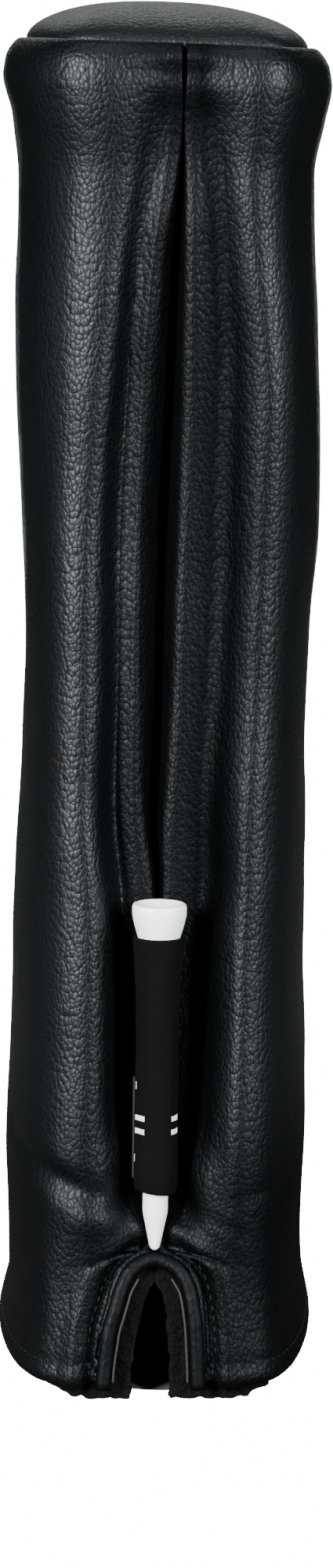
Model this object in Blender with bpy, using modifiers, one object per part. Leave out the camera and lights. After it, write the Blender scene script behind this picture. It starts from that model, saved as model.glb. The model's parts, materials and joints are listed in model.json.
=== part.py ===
"""Driver head cover: a tall padded leather sleeve with a round top, and a golf tee carried in a
knitted tee sleeve in the fold of its front seam.

Lengths are written in millimetres and turned into metres as the meshes are made. Z is up, the seam
with the fold, the tee and the notch faces -Y, and the origin is at the middle of the footprint,
on the surface that the plush lining's lower edge stands on.
"""
import math

import bmesh
import bpy
from mathutils import Vector

MM = 0.001

# ---- driving dimensions, mm ----
LEATHER = 1.2            # thickness of the outer leather
PADDING = 2.6            # foam behind the leather
PLUSH = 5.0              # lining with its pile
SKIN_GAP = 0.3           # clearance between neighbouring pieces
LAYER_GAP = 0.8          # clearance between curved layers
SEAM_ALLOWANCE = 4.0     # turned-in edge behind the front seam
BACK_ALLOWANCE = 2.0     # turned-in edge behind the back seam
RIM_ALLOWANCE = 1.2      # what is left of both where the top edge rolls over
THREAD_RADIUS = 0.35
SLEEVE_THREAD_RADIUS = 0.25
BODY_POWER = 2.3         # roundness of the oval section

BODY_TOP = 305.3         # where the shoulder starts to roll in
RIM_TILT = 0.038         # the top edge is a little higher on the left
CROWN_RISE = 9.8
CROWN_POWER = 0.55
CROWN_INSET = 5.8
HEM_DIP = 1.4            # the hem hangs lower at front and back than at the sides
HEM_FADE = 40.0          # height over which the dip dies away

TEE_LENGTH = 82.55       # a common 3 1/4 in tee
TEE_HEAD_RADIUS = 6.3
TEE_SHANK_RADIUS = 2.95
TEE_FOOT = Vector((-1.7, -54.97, 35.2))
TEE_AXIS = Vector((1.2, 1.15, 82.5)).normalized()
SLEEVE_LOW = 14.3        # along the tee from its point
SLEEVE_HIGH = 74.8

BINDING_RADIUS = 1.85
NOTCH_PLUSH = 4.4        # how far the plush shows inside the notch binding
ELASTIC = 0.6
ELASTIC_LOW = 22.0
ELASTIC_HIGH = 33.0

# ---- the outline by height: (height, value), mm ----
LEFT_SIDE = [(0, -40.2), (7, -39.8), (18, -37.6), (28, -37.4), (48, -38.0), (97, -36.2), (136, -34.4),
             (175, -32.7), (203, -33.6), (250, -34.6), (282, -33.8), (296, -35.5), (305, -37.3)]
RIGHT_SIDE = [(0, 36.2), (7, 35.9), (18, 34.4), (28, 34.2), (48, 34.8), (97, 34.4), (136, 34.3),
              (175, 35.5), (203, 37.4), (250, 36.9), (282, 35.6), (296, 38.4), (305, 40.0)]
DEPTH = [(0, 61.3), (6, 60.8), (28, 59.0), (48, 59.0), (85, 57.5), (118, 55.5), (150, 53.5),
         (172, 52.5), (205, 52.5), (250, 54.0), (284, 55.0), (305, 58.0)]
SEAM_X = [(33, -1.7), (80, -1.1), (118, -0.9), (135, -1.6), (165, -0.5), (200, 0.5), (235, 2.2),
          (270, 3.8), (290, 4.8), (313, 5.2)]
FOLD_GAP = {-1: [(35, 0.4), (50, 0.8), (105, 1.0), (126, 1.6), (144, 2.9), (181, 4.3), (217, 4.4),
                 (243, 3.9), (267, 2.8), (279, 1.6), (290, 0.6), (298, 0.25), (313, 0.25)],
            1: [(35, 0.4), (50, 0.8), (105, 1.0), (126, 1.4), (144, 2.1), (181, 2.7), (217, 2.6),
                (253, 1.95), (268, 1.4), (279, 0.9), (290, 0.45), (298, 0.25), (313, 0.25)]}
FOLD_DEPTH = [(35, 0.6), (50, 2.5), (105, 3.0), (118, 5.0), (135, 8.0), (150, 9.0), (235, 9.0),
              (270, 7.5), (288, 4.6), (297, 3.0), (305, 1.6), (313, 0.6)]
LIP_Y = [(35, -53.2), (41, -51.0), (50, -47.6), (80, -45.6), (105, -44.8), (116, -45.0), (140, -46.0),
         (204, -46.6), (214, -46.8), (235, -48.2), (253, -50.2), (270, -52.0), (288, -53.4),
         (297, -54.9), (305, -57.6)]
LIP_OUT = {-1: [(35, 2.4), (50, 3.2), (105, 3.6), (126, 4.3), (144, 5.1), (181, 5.8), (217, 6.1),
                (243, 6.2), (267, 5.2), (279, 4.0), (290, 2.8), (298, 2.1), (313, 2.1)],
           1: [(35, 2.2), (50, 2.8), (105, 3.1), (126, 3.6), (144, 4.2), (181, 4.6), (217, 4.7),
               (243, 4.4), (268, 3.6), (279, 3.0), (290, 2.3), (298, 2.0), (313, 2.0)]}
VALLEY_Y = {-1: [(35, -54.2), (50, -49.5), (80, -47.4), (105, -45.8), (118, -44.4), (130, -43.8),
                 (150, -44.2), (204, -44.6), (235, -46.0), (253, -47.8), (270, -49.8), (288, -52.0),
                 (297, -54.2), (305, -57.3)],
            1: [(35, -54.2), (50, -49.0), (80, -46.6), (105, -44.8), (118, -43.8), (130, -44.2),
                (150, -45.2), (204, -45.8), (235, -47.2), (253, -48.8), (270, -50.4), (288, -52.4),
                (297, -54.2), (305, -57.3)]}
VALLEY_OUT = {-1: [(35, 6.0), (50, 8.5), (105, 9.0), (126, 9.3), (144, 9.7), (163, 10.1),
                   (188, 10.3), (217, 10.4), (243, 9.9), (267, 8.8), (286, 6.7), (295, 5.0),
                   (305, 4.2)],
              1: [(35, 6.0), (50, 8.5), (105, 9.5), (126, 11.6), (163, 12.3), (199, 12.9), (243, 11.7),
                  (267, 9.0), (286, 7.2), (295, 5.4), (305, 4.2)]}
LOBE_OUT = {-1: [(0, 19.5), (50, 17.0), (105, 15.8), (144, 17.0), (178, 17.8), (214, 18.0),
                 (243, 17.2), (267, 15.8), (286, 15.4), (300, 17.2), (305, 18.0)],
            1: [(0, 21.0), (50, 18.8), (104, 19.6), (150, 22.0), (232, 22.5), (250, 20.6), (268, 18.0),
                (286, 16.2), (300, 17.2), (305, 18.0)]}
# share of the way from valley to front reached halfway along a lobe's flank
FLANK_FULLNESS = {-1: 0.8, 1: 0.66}
# middle of the rolled notch binding, from its top down each leg: (x, height)
NOTCH_LEG = {-1: [(-1.7, 32.9), (-4.8, 32.2), (-7.6, 30.2), (-9.3, 27.0), (-10.9, 21.8), (-12.3, 17.0),
                  (-13.9, 3.2)],
             1: [(-1.7, 32.9), (1.4, 32.2), (4.3, 30.4), (6.3, 27.0), (7.4, 21.8), (7.9, 17.0),
                 (8.4, 3.2)]}
NOTCH_Y = [(0, -60.8), (4, -60.5), (18, -59.2), (27, -57.2), (31, -55.6), (35, -53.2)]

ROWS = [4, 10, 17, 24, 29.5, 33, 34.6, 36, 41, 50, 66, 86, 104, 115, 127, 142, 160, 180, 200, 217, 235,
        253, 270, 284, 296]
# the top edge rolling over: (height, inset, degrees turned)
SHOULDER = [(305.3, 0, 0), (309.5, 0.8, 25), (312.4, 2.6, 60), (313.5, 4.2, 95), (312.6, 5.2, 135),
            (306.8, 5.5, 180)]
LINING_ROWS = [0, 8, 16, 23, 27, 29.4, 31, 35, 41, 50, 66, 86, 104, 115, 127, 160, 204, 235, 262, 284,
               303.4]
PADDING_ROWS = [46, 66, 86, 104, 127, 160, 180, 200, 217, 235, 253, 270, 284, 296, 301]
FRONT_SEAM_ROWS = [50, 66, 86, 104, 115, 127, 142, 160, 180, 200, 217, 235, 253, 270, 284, 293]
LINING_APEX = 30.0       # top of the notch in the plush
VALLEY_CLEARANCE = 3.4   # the lining passes this far behind the leather of the valleys
STITCH_HEIGHT = 9.0
STITCH_CLEARANCE = THREAD_RADIUS + SKIN_GAP + 0.1
SIDE_STEPS = 5
TURNED_STEPS = 24
SIDE_WORD = {-1: "left", 1: "right"}

CROWN_EDGE = (310.5, 306.9)          # levels of the crown's turned-down edge
CROWN_FOAM_BASE = 311.2
STIFFENER = (309.6, 310.8)
CROWN_PLUSH = (304.3, 309.2)
CROWN_SEAM = 306.0
CORE_INSET = CROWN_INSET + LEATHER + LAYER_GAP
DOME_SHARES = (0.2, 0.45, 0.65, 0.8, 0.9, 0.97, 1.0)
DOME_TOP_RING = 2.5                  # mm below the apex within which the smallest ring lies


def at(stations, height):
    """Value of a station list at a height, along a smooth curve through the stations."""
    if height <= stations[0][0]:
        return stations[0][1]
    if height >= stations[-1][0]:
        return stations[-1][1]
    i = max(k for k, (h, _) in enumerate(stations) if h <= height)
    h0, v0 = stations[i]
    h1, v1 = stations[i + 1]
    t = (height - h0) / (h1 - h0)

    def slope(k):
        if k <= 0 or k >= len(stations) - 1:
            return 0.0
        before = (stations[k][1] - stations[k - 1][1]) / (stations[k][0] - stations[k - 1][0])
        after = (stations[k + 1][1] - stations[k][1]) / (stations[k + 1][0] - stations[k][0])
        return 0.0 if before * after <= 0 else 2 * before * after / (before + after)

    m0 = slope(i) * (h1 - h0)
    m1 = slope(i + 1) * (h1 - h0)
    return ((2 * t**3 - 3 * t**2 + 1) * v0 + (t**3 - 2 * t**2 + t) * m0
            + (3 * t**2 - 2 * t**3) * v1 + (t**3 - t**2) * m1)


def smooth(low, high, value):
    t = min(1.0, max(0.0, (value - low) / (high - low)))
    return t * t * (3 - 2 * t)


def side_x(side, height):
    return at(LEFT_SIDE if side < 0 else RIGHT_SIDE, height)


def centre_x(height):
    return (side_x(-1, height) + side_x(1, height)) / 2


def lobe_x(side, height):
    return at(SEAM_X, height) + side * at(LOBE_OUT[side], height)


def leg_edge(side, distance):
    """The notch leg moved outward by a distance, as (height, x) stations rising from the hem."""
    leg = NOTCH_LEG[side]
    moved = [(leg[0][1] + distance, leg[0][0] + side * SKIN_GAP / 2)]
    for k in range(1, len(leg)):
        after = leg[min(k + 1, len(leg) - 1)]
        along = Vector(after) - Vector(leg[k - 1])
        outward = Vector((-along.y, along.x)).normalized() * side
        moved.append((leg[k][1] + outward.y * distance, leg[k][0] + outward.x * distance))
    return sorted(moved)


def round_points(side, height, inset):
    """The section from a front lobe round the side to the back seam, as (x, y)."""
    lobe = lobe_x(side, height)
    depth = at(DEPTH, height) - inset
    reach = abs(side_x(side, height) - lobe) - inset
    points = []
    for k in range(1, SIDE_STEPS + 1):
        angle = math.radians(90 * k / SIDE_STEPS)
        points.append((lobe + side * reach * math.sin(angle)**(2 / BODY_POWER),
                       -depth * abs(math.cos(angle))**(2 / BODY_POWER)))
    middle = centre_x(height)
    reach = abs(side_x(side, height) - middle) - inset
    for k in range(1, SIDE_STEPS + 1):
        angle = math.radians(90 * k / SIDE_STEPS)
        points.append((middle + side * max(SKIN_GAP / 2, reach * abs(math.cos(angle))**(2 / BODY_POWER)),
                       depth * math.sin(angle)**(2 / BODY_POWER)))
    return points


def fold_floor(height):
    return at(LIP_Y, height) + at(FOLD_DEPTH, height)


def fold_points(side, height, inset):
    """The section of a panel from the bottom of the fold out over the lip to the lobe, as (x, y)."""
    seam = at(SEAM_X, height)
    lip = at(LIP_Y, height) + inset
    floor = lip + at(FOLD_DEPTH, height) * (1 - smooth(4.0, 5.2, inset))
    slit = SKIN_GAP / 2 + 0.25 * smooth(300, 309, height)
    valley = at(VALLEY_Y[side], height) + inset
    front = -at(DEPTH, height) + inset
    gap = at(FOLD_GAP[side], height)
    ridge = at(LIP_OUT[side], height)
    valley_out = at(VALLEY_OUT[side], height)
    lobe_out = abs(lobe_x(side, height) - seam)
    profile = [(slit, floor),
               (slit + 0.5 * gap, floor + 0.55 * (lip - floor)),
               (slit + gap, floor + 0.88 * (lip - floor)),
               (ridge, lip),
               (0.5 * (ridge + valley_out), 0.5 * (lip + valley)),
               (valley_out, valley),
               (0.5 * (valley_out + lobe_out), valley + FLANK_FULLNESS[side] * (front - valley)),
               (lobe_out, front)]
    return [(seam + side * out, y) for out, y in profile]


def notch_points(side, height):
    """The section of a panel beside the notch, from the notch edge to the lobe, as (x, y)."""
    edge = at(leg_edge(side, BINDING_RADIUS + SKIN_GAP), height)
    lobe = lobe_x(side, height)
    edge_y = at(NOTCH_Y, height)
    front = -at(DEPTH, height)
    return [(edge + (lobe - edge) * k / 7, edge_y + (front - edge_y) * math.sin(math.pi / 2 * k / 7))
            for k in range(8)]


def hem_drop(height, y):
    """How far a point near the mouth hangs below its level, so that the hem dips front and back."""
    share = (y / at(DEPTH, height))**2
    return HEM_DIP * (1 - share) * (1 - smooth(0, HEM_FADE, height))


def tilt(x, height):
    return -RIM_TILT * (x - centre_x(height)) * smooth(285, 305, height)


def panel_row(side, height, inset=0.0, turned=0.0):
    """One row of a panel, from its front seam allowance round to its back seam allowance."""
    notch = height < NOTCH_LEG[side][0][1] + BINDING_RADIUS
    section = notch_points(side, height) if notch else fold_points(side, height, inset)
    section += round_points(side, height, inset)
    row = [Vector((x, y, height)) for x, y in section]
    turn = math.radians(turned)
    behind = Vector((0, math.cos(turn), -math.sin(turn)))
    within = RIM_ALLOWANCE + (SEAM_ALLOWANCE - RIM_ALLOWANCE) * (1 - smooth(294, 304, height))
    within = 0.3 + (within - 0.3) * smooth(36, 46, height)
    row.insert(0, row[0] + behind * within)
    behind.y = -behind.y
    within = RIM_ALLOWANCE + (BACK_ALLOWANCE - RIM_ALLOWANCE) * (1 - smooth(294, 304, height))
    row.append(row[-1] + behind * within)
    for point in row:
        point.z += hem_drop(height, point.y) + tilt(point.x, height)
    return row


def surface_point(side, height, x, out):
    """A point on a panel's front at a height and x, moved out of the leather by a distance."""
    row = panel_row(side, height)[1:9]
    for a, b in zip(row, row[1:]):
        if min(a.x, b.x) <= x <= max(a.x, b.x) and a.x != b.x:
            point = a.lerp(b, (x - a.x) / (b.x - a.x))
            return point - Vector((0, out, 0))
    raise ValueError("no leather there")


# ---- making objects ----

def material(name, colour, roughness):
    made = bpy.data.materials.new(name)
    made.use_nodes = True
    shader = made.node_tree.nodes["Principled BSDF"]
    shader.inputs["Base Color"].default_value = (*colour, 1)
    shader.inputs["Roughness"].default_value = roughness
    return made


def add_object(name, data, collection, mat):
    data.materials.append(mat)
    made = bpy.data.objects.new(name, data)
    collection.objects.link(made)
    return made


def grid_mesh(name, rows, closed=False):
    """A mesh through rows of points; closed joins the end of each row to its start."""
    bm = bmesh.new()
    grid = [[bm.verts.new(Vector(p) * MM) for p in row] for row in rows]
    for low, high in zip(grid, grid[1:]):
        span = len(low) if closed else len(low) - 1
        for k in range(span):
            n = (k + 1) % len(low)
            bm.faces.new((low[k], low[n], high[n], high[k]))
    mesh = bpy.data.meshes.new(name)
    bm.to_mesh(mesh)
    bm.free()
    for polygon in mesh.polygons:
        polygon.use_smooth = True
    return mesh


def loft(name, rings, collection, mat):
    """A closed solid through rings of points, its first and last rings filled flat."""
    mesh = grid_mesh(name, rings, closed=True)
    bm = bmesh.new()
    bm.from_mesh(mesh)
    edges = [edge for edge in bm.edges if edge.is_boundary]
    bmesh.ops.holes_fill(bm, edges=edges, sides=0)
    bmesh.ops.recalc_face_normals(bm, faces=bm.faces)
    bm.to_mesh(mesh)
    bm.free()
    return add_object(name, mesh, collection, mat)


def thicken(obj):
    """Gives a skin the thickness of the leather, inward."""
    shell = obj.modifiers.new("thickness", "SOLIDIFY")
    shell.thickness = LEATHER * MM
    shell.offset = -1.0
    shell.use_even_offset = True


def turned_piece(name, profile, collection, mat):
    """A turned piece: a closed (radius, height) outline swept round Z."""
    mesh = bpy.data.meshes.new(name)
    points = [(r * MM, 0, z * MM) for r, z in profile]
    edges = [(k, k + 1) for k in range(len(points) - 1)]
    if profile[0][0] > 0:
        edges.append((len(points) - 1, 0))
    mesh.from_pydata(points, edges, [])
    obj = add_object(name, mesh, collection, mat)
    screw = obj.modifiers.new("turn", "SCREW")
    screw.steps = TURNED_STEPS
    screw.render_steps = TURNED_STEPS
    screw.use_merge_vertices = True
    screw.merge_threshold = 0.00005
    return obj


def tube(name, points, radius, collection, mat, cyclic=False):
    """A round cord through a list of points."""
    curve = bpy.data.curves.new(name, "CURVE")
    curve.dimensions = "3D"
    curve.bevel_depth = radius * MM
    curve.bevel_resolution = 1
    curve.use_fill_caps = True
    spline = curve.splines.new("POLY")
    spline.points.add(len(points) - 1)
    for target, point in zip(spline.points, points):
        target.co = (*(Vector(point) * MM), 1)
    spline.use_cyclic_u = cyclic
    return add_object(name, curve, collection, mat)


# ---- the pieces ----

def body_panel(side, collection, mat):
    """Outer leather of one side, from the fold in front to the back seam, hem to rolled rim."""
    rows = [panel_row(side, height) for height in ROWS]
    rows += [panel_row(side, *station) for station in SHOULDER]
    if side > 0:
        rows = [row[::-1] for row in rows]
    name = f"{SIDE_WORD[side]}_body_panel"
    panel = add_object(name, grid_mesh(name, [row[::-1] for row in rows]), collection, mat)
    thicken(panel)
    return panel


def padding(side, collection, mat):
    """Foam behind the leather, from the front lobe round to the back seam."""
    inset = LEATHER + LAYER_GAP
    sections = []
    for height in PADDING_ROWS:
        outer = round_points(side, height, inset)
        inner = round_points(side, height, inset + PADDING)
        seam_x = centre_x(height) + side * (SKIN_GAP / 2 + LEATHER + SKIN_GAP)
        outer[-1] = (seam_x, outer[-1][1])
        inner[-1] = (seam_x, inner[-1][1])
        sections.append([(x, y, height) for x, y in outer + inner[::-1]])
    return loft(f"{SIDE_WORD[side]}_padding", sections, collection, mat)


def lining_inset(height):
    """The lining lies against the leather at the mouth and behind the foam above it."""
    near = LEATHER + LAYER_GAP + 1.3
    far = LEATHER + PADDING + 2 * LAYER_GAP
    return near + (far - near) * smooth(34, 46, height)


def lining_front(side, height):
    """Front of a lining section: beside the notch it reaches past the binding, above it it passes
    behind the fold."""
    seam = at(SEAM_X, height)
    lobe = lobe_x(side, height)
    front = -at(DEPTH, height) + lining_inset(height)
    mouth = at(NOTCH_Y, height) + BINDING_RADIUS + LAYER_GAP
    near = seam + side * SKIN_GAP / 2
    if height < LINING_APEX:
        edge = at(leg_edge(side, -BINDING_RADIUS - NOTCH_PLUSH), height)
        edge = min(edge, near) if side < 0 else max(edge, near)
        return [(edge + (lobe - edge) * k / 4, mouth + (front - mouth) * k / 4) for k in range(5)]
    share = smooth(31, 41, height)
    centre = mouth + (fold_floor(height) + SEAM_ALLOWANCE + 2.2 - mouth) * share
    valley = mouth + (at(VALLEY_Y[side], height) + LEATHER + VALLEY_CLEARANCE - mouth) * share
    outward = at(VALLEY_OUT[side], height)
    return [(near, centre),
            (seam + side * (at(LIP_OUT[side], height) + 0.8), centre - 0.6 * share),
            (seam + side * outward, valley),
            (0.5 * (seam + side * outward + lobe), 0.5 * (valley + front)),
            (lobe, front)]


def lining(side, collection, mat):
    """Plush lining of one side."""
    sections = []
    for height in LINING_ROWS:
        inset = lining_inset(height)
        front = lining_front(side, height)
        outer = round_points(side, height, inset)
        inner = round_points(side, height, inset + PLUSH)
        dent = BACK_ALLOWANCE * (1 - smooth(34, 46, height))
        outer[-1] = (outer[-1][0], outer[-1][1] - dent)
        inner[-1] = (inner[-1][0], inner[-1][1] - dent)
        inner_front = [(x, y + PLUSH) for x, y in front]
        section = front + outer + inner[::-1] + inner_front[::-1]
        sections.append([(x, y, height + tilt(x, height)) for x, y in section])
    return loft(f"{SIDE_WORD[side]}_lining", sections, collection, mat)


def rim_outline(inset):
    """The closed outline of the round top, moved in by an inset, without the fold."""
    ring = []
    for side in (-1, 1):
        seam = at(SEAM_X, BODY_TOP)
        half = [(seam, at(LIP_Y, BODY_TOP) + inset)] + fold_points(side, BODY_TOP, inset)[3:]
        half += round_points(side, BODY_TOP, inset)
        half[-1] = (centre_x(BODY_TOP), half[-1][1])
        ring += half[:-1] if side < 0 else half[:0:-1]
    return ring


def dome_height(share):
    return BODY_TOP + 8.2 + CROWN_RISE * max(0.0, 1 - share * share)**CROWN_POWER


def dome_rings(inset, drop, shares):
    middle = Vector((centre_x(BODY_TOP), 0))
    rings = []
    for share in shares:
        ring = [middle + (Vector(point) - middle) * share for point in rim_outline(inset)]
        rings.append([Vector((p.x, p.y, dome_height(share) - drop + tilt(p.x, BODY_TOP))) for p in ring])
    return rings


def crown_panel(collection, mat):
    """The domed leather top with its edge turned down into the seam."""
    rings = dome_rings(CROWN_INSET, 0, DOME_SHARES)
    for level in CROWN_EDGE:
        rings.append([Vector((p.x, p.y, level + tilt(p.x, BODY_TOP))) for p in rings[-1]])
    name = "crown_panel"
    mesh = grid_mesh(name, rings[::-1], closed=True)
    bm = bmesh.new()
    bm.from_mesh(mesh)
    top = max(vert.co.z for vert in bm.verts)
    inner = [e for e in bm.edges if e.is_boundary and e.verts[0].co.z > top - DOME_TOP_RING * MM]
    bmesh.ops.contextual_create(bm, geom=inner)
    bmesh.ops.recalc_face_normals(bm, faces=bm.faces)
    if sum(face.normal.z for face in bm.faces) < 0:
        bmesh.ops.reverse_faces(bm, faces=bm.faces)
    bm.to_mesh(mesh)
    bm.free()
    crown = add_object(name, mesh, collection, mat)
    thicken(crown)
    return crown


def crown_foam(collection, mat):
    """Foam that fills the dome, above the stiffener."""
    rings = dome_rings(CORE_INSET, LEATHER + LAYER_GAP, DOME_SHARES[:-1])
    rings.append([Vector((p.x, p.y, CROWN_FOAM_BASE + tilt(p.x, BODY_TOP))) for p in rings[-1]])
    return loft("crown_foam", rings, collection, mat)


def crown_disc(name, levels, collection, mat):
    """A flat layer under the dome, between two levels."""
    rings = [[Vector((x, y, level + tilt(x, BODY_TOP))) for x, y in rim_outline(CORE_INSET)]
             for level in reversed(levels)]
    return loft(name, rings, collection, mat)


def smooth_route(points, steps):
    """A smooth curve through points, with a number of steps between each pair."""
    route = []
    for k in range(len(points) - 1):
        p0 = points[max(k - 1, 0)]
        p1, p2 = points[k], points[k + 1]
        p3 = points[min(k + 2, len(points) - 1)]
        for j in range(steps):
            t = j / steps
            route.append(0.5 * ((2 * p1) + (p2 - p0) * t + (2 * p0 - 5 * p1 + 4 * p2 - p3) * t**2
                                + (3 * p1 - p0 - 3 * p2 + p3) * t**3))
    route.append(points[-1])
    return route


def notch_binding(collection, mat):
    """Rolled leather that binds the edge of the notch."""
    middle = []
    for side in (-1, 1):
        leg = [Vector((x, at(NOTCH_Y, height) - 0.5, height)) for x, height in NOTCH_LEG[side]]
        middle += leg[::-1] if side < 0 else leg[1:]
    piece = tube("notch_binding", smooth_route(middle, 3), BINDING_RADIUS, collection, mat)
    piece.data.bevel_resolution = 2
    return piece


def notch_topstitch(side, collection, mat):
    """Thread beside one leg of the notch binding."""
    edge = leg_edge(side, BINDING_RADIUS + 2.6)
    route = [surface_point(side, height, at(edge, height), STITCH_CLEARANCE) for height in range(13, 32, 3)]
    name = f"{SIDE_WORD[side]}_notch_topstitch"
    return tube(name, smooth_route(route, 2), THREAD_RADIUS, collection, mat)


def hem_topstitch(collection, mat):
    """Thread along the hem, from one side of the notch round the back to the other."""
    route = []
    for side in (1, -1):
        leg = notch_points(side, STITCH_HEIGHT)[2:]
        leg += round_points(side, STITCH_HEIGHT, 0)
        moved = []
        for x, y in leg:
            way = Vector((x - centre_x(STITCH_HEIGHT), y * 0.6)).normalized() * STITCH_CLEARANCE
            moved.append(Vector((x + way.x, y + way.y, STITCH_HEIGHT + hem_drop(STITCH_HEIGHT, y))))
        route += moved if side > 0 else moved[-2::-1]
    return tube("hem_topstitch", smooth_route(route, 3), THREAD_RADIUS, collection, mat)


def front_seam_thread(collection, mat):
    """Thread that joins the two panels behind the fold."""
    points = []
    for height in FRONT_SEAM_ROWS:
        behind = fold_floor(height) + SEAM_ALLOWANCE + SKIN_GAP + THREAD_RADIUS
        points.append(Vector((at(SEAM_X, height), behind, height)))
    return tube("front_seam_thread", points, THREAD_RADIUS, collection, mat)


def back_seam_thread(collection, mat):
    """Thread that joins the two panels inside the back seam."""
    points = []
    for height in ROWS[1:]:
        inside = at(DEPTH, height) - BACK_ALLOWANCE - SKIN_GAP - THREAD_RADIUS
        points.append(Vector((centre_x(height), inside, height)))
    return tube("back_seam_thread", points, THREAD_RADIUS, collection, mat)


def crown_seam_thread(collection, mat):
    """Thread that joins the crown to the body, below the two turned-down edges."""
    ring = [Vector((x, y, CROWN_SEAM + tilt(x, BODY_TOP))) for x, y in rim_outline(CROWN_INSET + 0.2)]
    return tube("crown_seam_thread", ring, THREAD_RADIUS, collection, mat, cyclic=True)


def neck_elastic(collection, mat):
    """Elastic that draws the neck in, from one side of the notch round the back to the other."""
    sections = []
    for height in (ELASTIC_LOW, 27.5, ELASTIC_HIGH):
        band = []
        for inset in (LEATHER + LAYER_GAP, LEATHER + LAYER_GAP + ELASTIC):
            right = round_points(1, height, inset)[:-1]
            left = round_points(-1, height, inset)[:-1]
            back = (centre_x(height), at(DEPTH, height) - inset - BACK_ALLOWANCE)
            line = right + [back] + left[::-1]
            band += line[::-1] if band else line
        sections.append([(x, y, height) for x, y in band])
    return loft("neck_elastic", sections, collection, mat)


def tee_frame(obj):
    """Stands a turned piece along the tee's axis, with its origin at the tee's point."""
    obj.location = TEE_FOOT * MM
    obj.rotation_euler = TEE_AXIS.to_track_quat("Z", "Y").to_euler()
    return obj


def tee(collection, mat):
    """The wooden tee: a cupped head, a straight shank and a blunt point."""
    top = TEE_LENGTH
    profile = [(0, top - 1.6), (2.6, top - 1.3), (4.6, top - 0.5), (5.6, top), (6.15, top - 0.25),
               (TEE_HEAD_RADIUS, top - 0.9), (TEE_HEAD_RADIUS, top - 2.6), (5.9, top - 4.6),
               (4.95, top - 7.8), (3.9, top - 11.5), (3.2, top - 16), (TEE_SHANK_RADIUS, top - 20),
               (TEE_SHANK_RADIUS, 9.0), (1.2, 0.9), (0.8, 0.2), (0, 0)]
    piece = turned_piece("tee", profile, collection, mat)
    return tee_frame(piece)


def tee_sleeve(collection, mat):
    """The knitted tube that grips the tee, wider at its mouth where the tee flares."""
    top = TEE_LENGTH
    outer = [(5.85, SLEEVE_HIGH), (5.75, SLEEVE_HIGH - 2.5), (5.3, SLEEVE_HIGH - 9), (5.0, SLEEVE_HIGH - 16),
             (4.9, 44), (5.0, 26), (5.1, 18), (4.7, SLEEVE_LOW)]
    inner = [(TEE_SHANK_RADIUS + 0.35, SLEEVE_LOW), (TEE_SHANK_RADIUS + 0.35, top - 20.3), (3.6, top - 16),
             (4.3, top - 11.3), (5.3, SLEEVE_HIGH)]
    piece = turned_piece("tee_sleeve", outer + inner, collection, mat)
    return tee_frame(piece)


def sleeve_thread(collection, mat):
    """Thread down the left of the tee sleeve, where it is sewn into the fold."""
    points = []
    across = TEE_AXIS.cross(Vector((0, 1, 0))).normalized()
    outward = (across * 0.94 - Vector((0, 0.34, 0))).normalized()
    if outward.x > 0:
        outward.x = -outward.x
    for along in range(18, 46, 4):
        points.append(TEE_FOOT + TEE_AXIS * along + outward * (5.1 + SKIN_GAP + SLEEVE_THREAD_RADIUS))
    return tube("sleeve_thread", points, SLEEVE_THREAD_RADIUS, collection, mat)


def main():
    for obj in list(bpy.data.objects):
        bpy.data.objects.remove(obj, do_unlink=True)
    cover = bpy.data.collections.new("driver_head_cover")
    bpy.context.scene.collection.children.link(cover)

    for side, word in SIDE_WORD.items():
        body_panel(side, cover, material(f"{word}_leather", (0.016, 0.016, 0.017), 0.42))
        padding(side, cover, material(f"{word}_foam", (0.55, 0.53, 0.48), 0.9))
        lining(side, cover, material(f"{word}_plush", (0.010, 0.010, 0.010), 0.95))
        notch_topstitch(side, cover, material(f"{word}_notch_thread", (0.008, 0.008, 0.008), 0.6))
    crown_panel(cover, material("crown_leather", (0.020, 0.020, 0.022), 0.42))
    crown_foam(cover, material("crown_foam", (0.55, 0.53, 0.48), 0.9))
    crown_disc("crown_stiffener", STIFFENER, cover, material("stiffener_board", (0.10, 0.10, 0.10), 0.7))
    crown_disc("crown_lining", CROWN_PLUSH, cover, material("crown_plush", (0.010, 0.010, 0.010), 0.95))
    neck_elastic(cover, material("elastic_web", (0.03, 0.03, 0.03), 0.8))
    notch_binding(cover, material("binding_leather", (0.014, 0.014, 0.015), 0.35))
    hem_topstitch(cover, material("hem_thread", (0.008, 0.008, 0.008), 0.6))
    front_seam_thread(cover, material("front_thread", (0.008, 0.008, 0.008), 0.6))
    back_seam_thread(cover, material("back_thread", (0.008, 0.008, 0.008), 0.6))
    crown_seam_thread(cover, material("crown_thread", (0.008, 0.008, 0.008), 0.6))
    tee_sleeve(cover, material("sleeve_knit", (0.012, 0.012, 0.012), 0.85))
    sleeve_thread(cover, material("sleeve_seam_thread", (0.03, 0.03, 0.03), 0.6))
    tee(cover, material("tee_lacquer", (0.80, 0.80, 0.82), 0.3))


main()
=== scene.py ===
"""Looks of the driver head cover: pebbled leather over foam, a domed crown, a plush lining, rolled
binding, topstitches, and the tee in its knitted sleeve. Lengths are in millimetres until a mesh is
made; the frame and every mesh are in metres."""
import json
import math

import bmesh
import bpy
from mathutils import Matrix, Vector, noise


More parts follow.
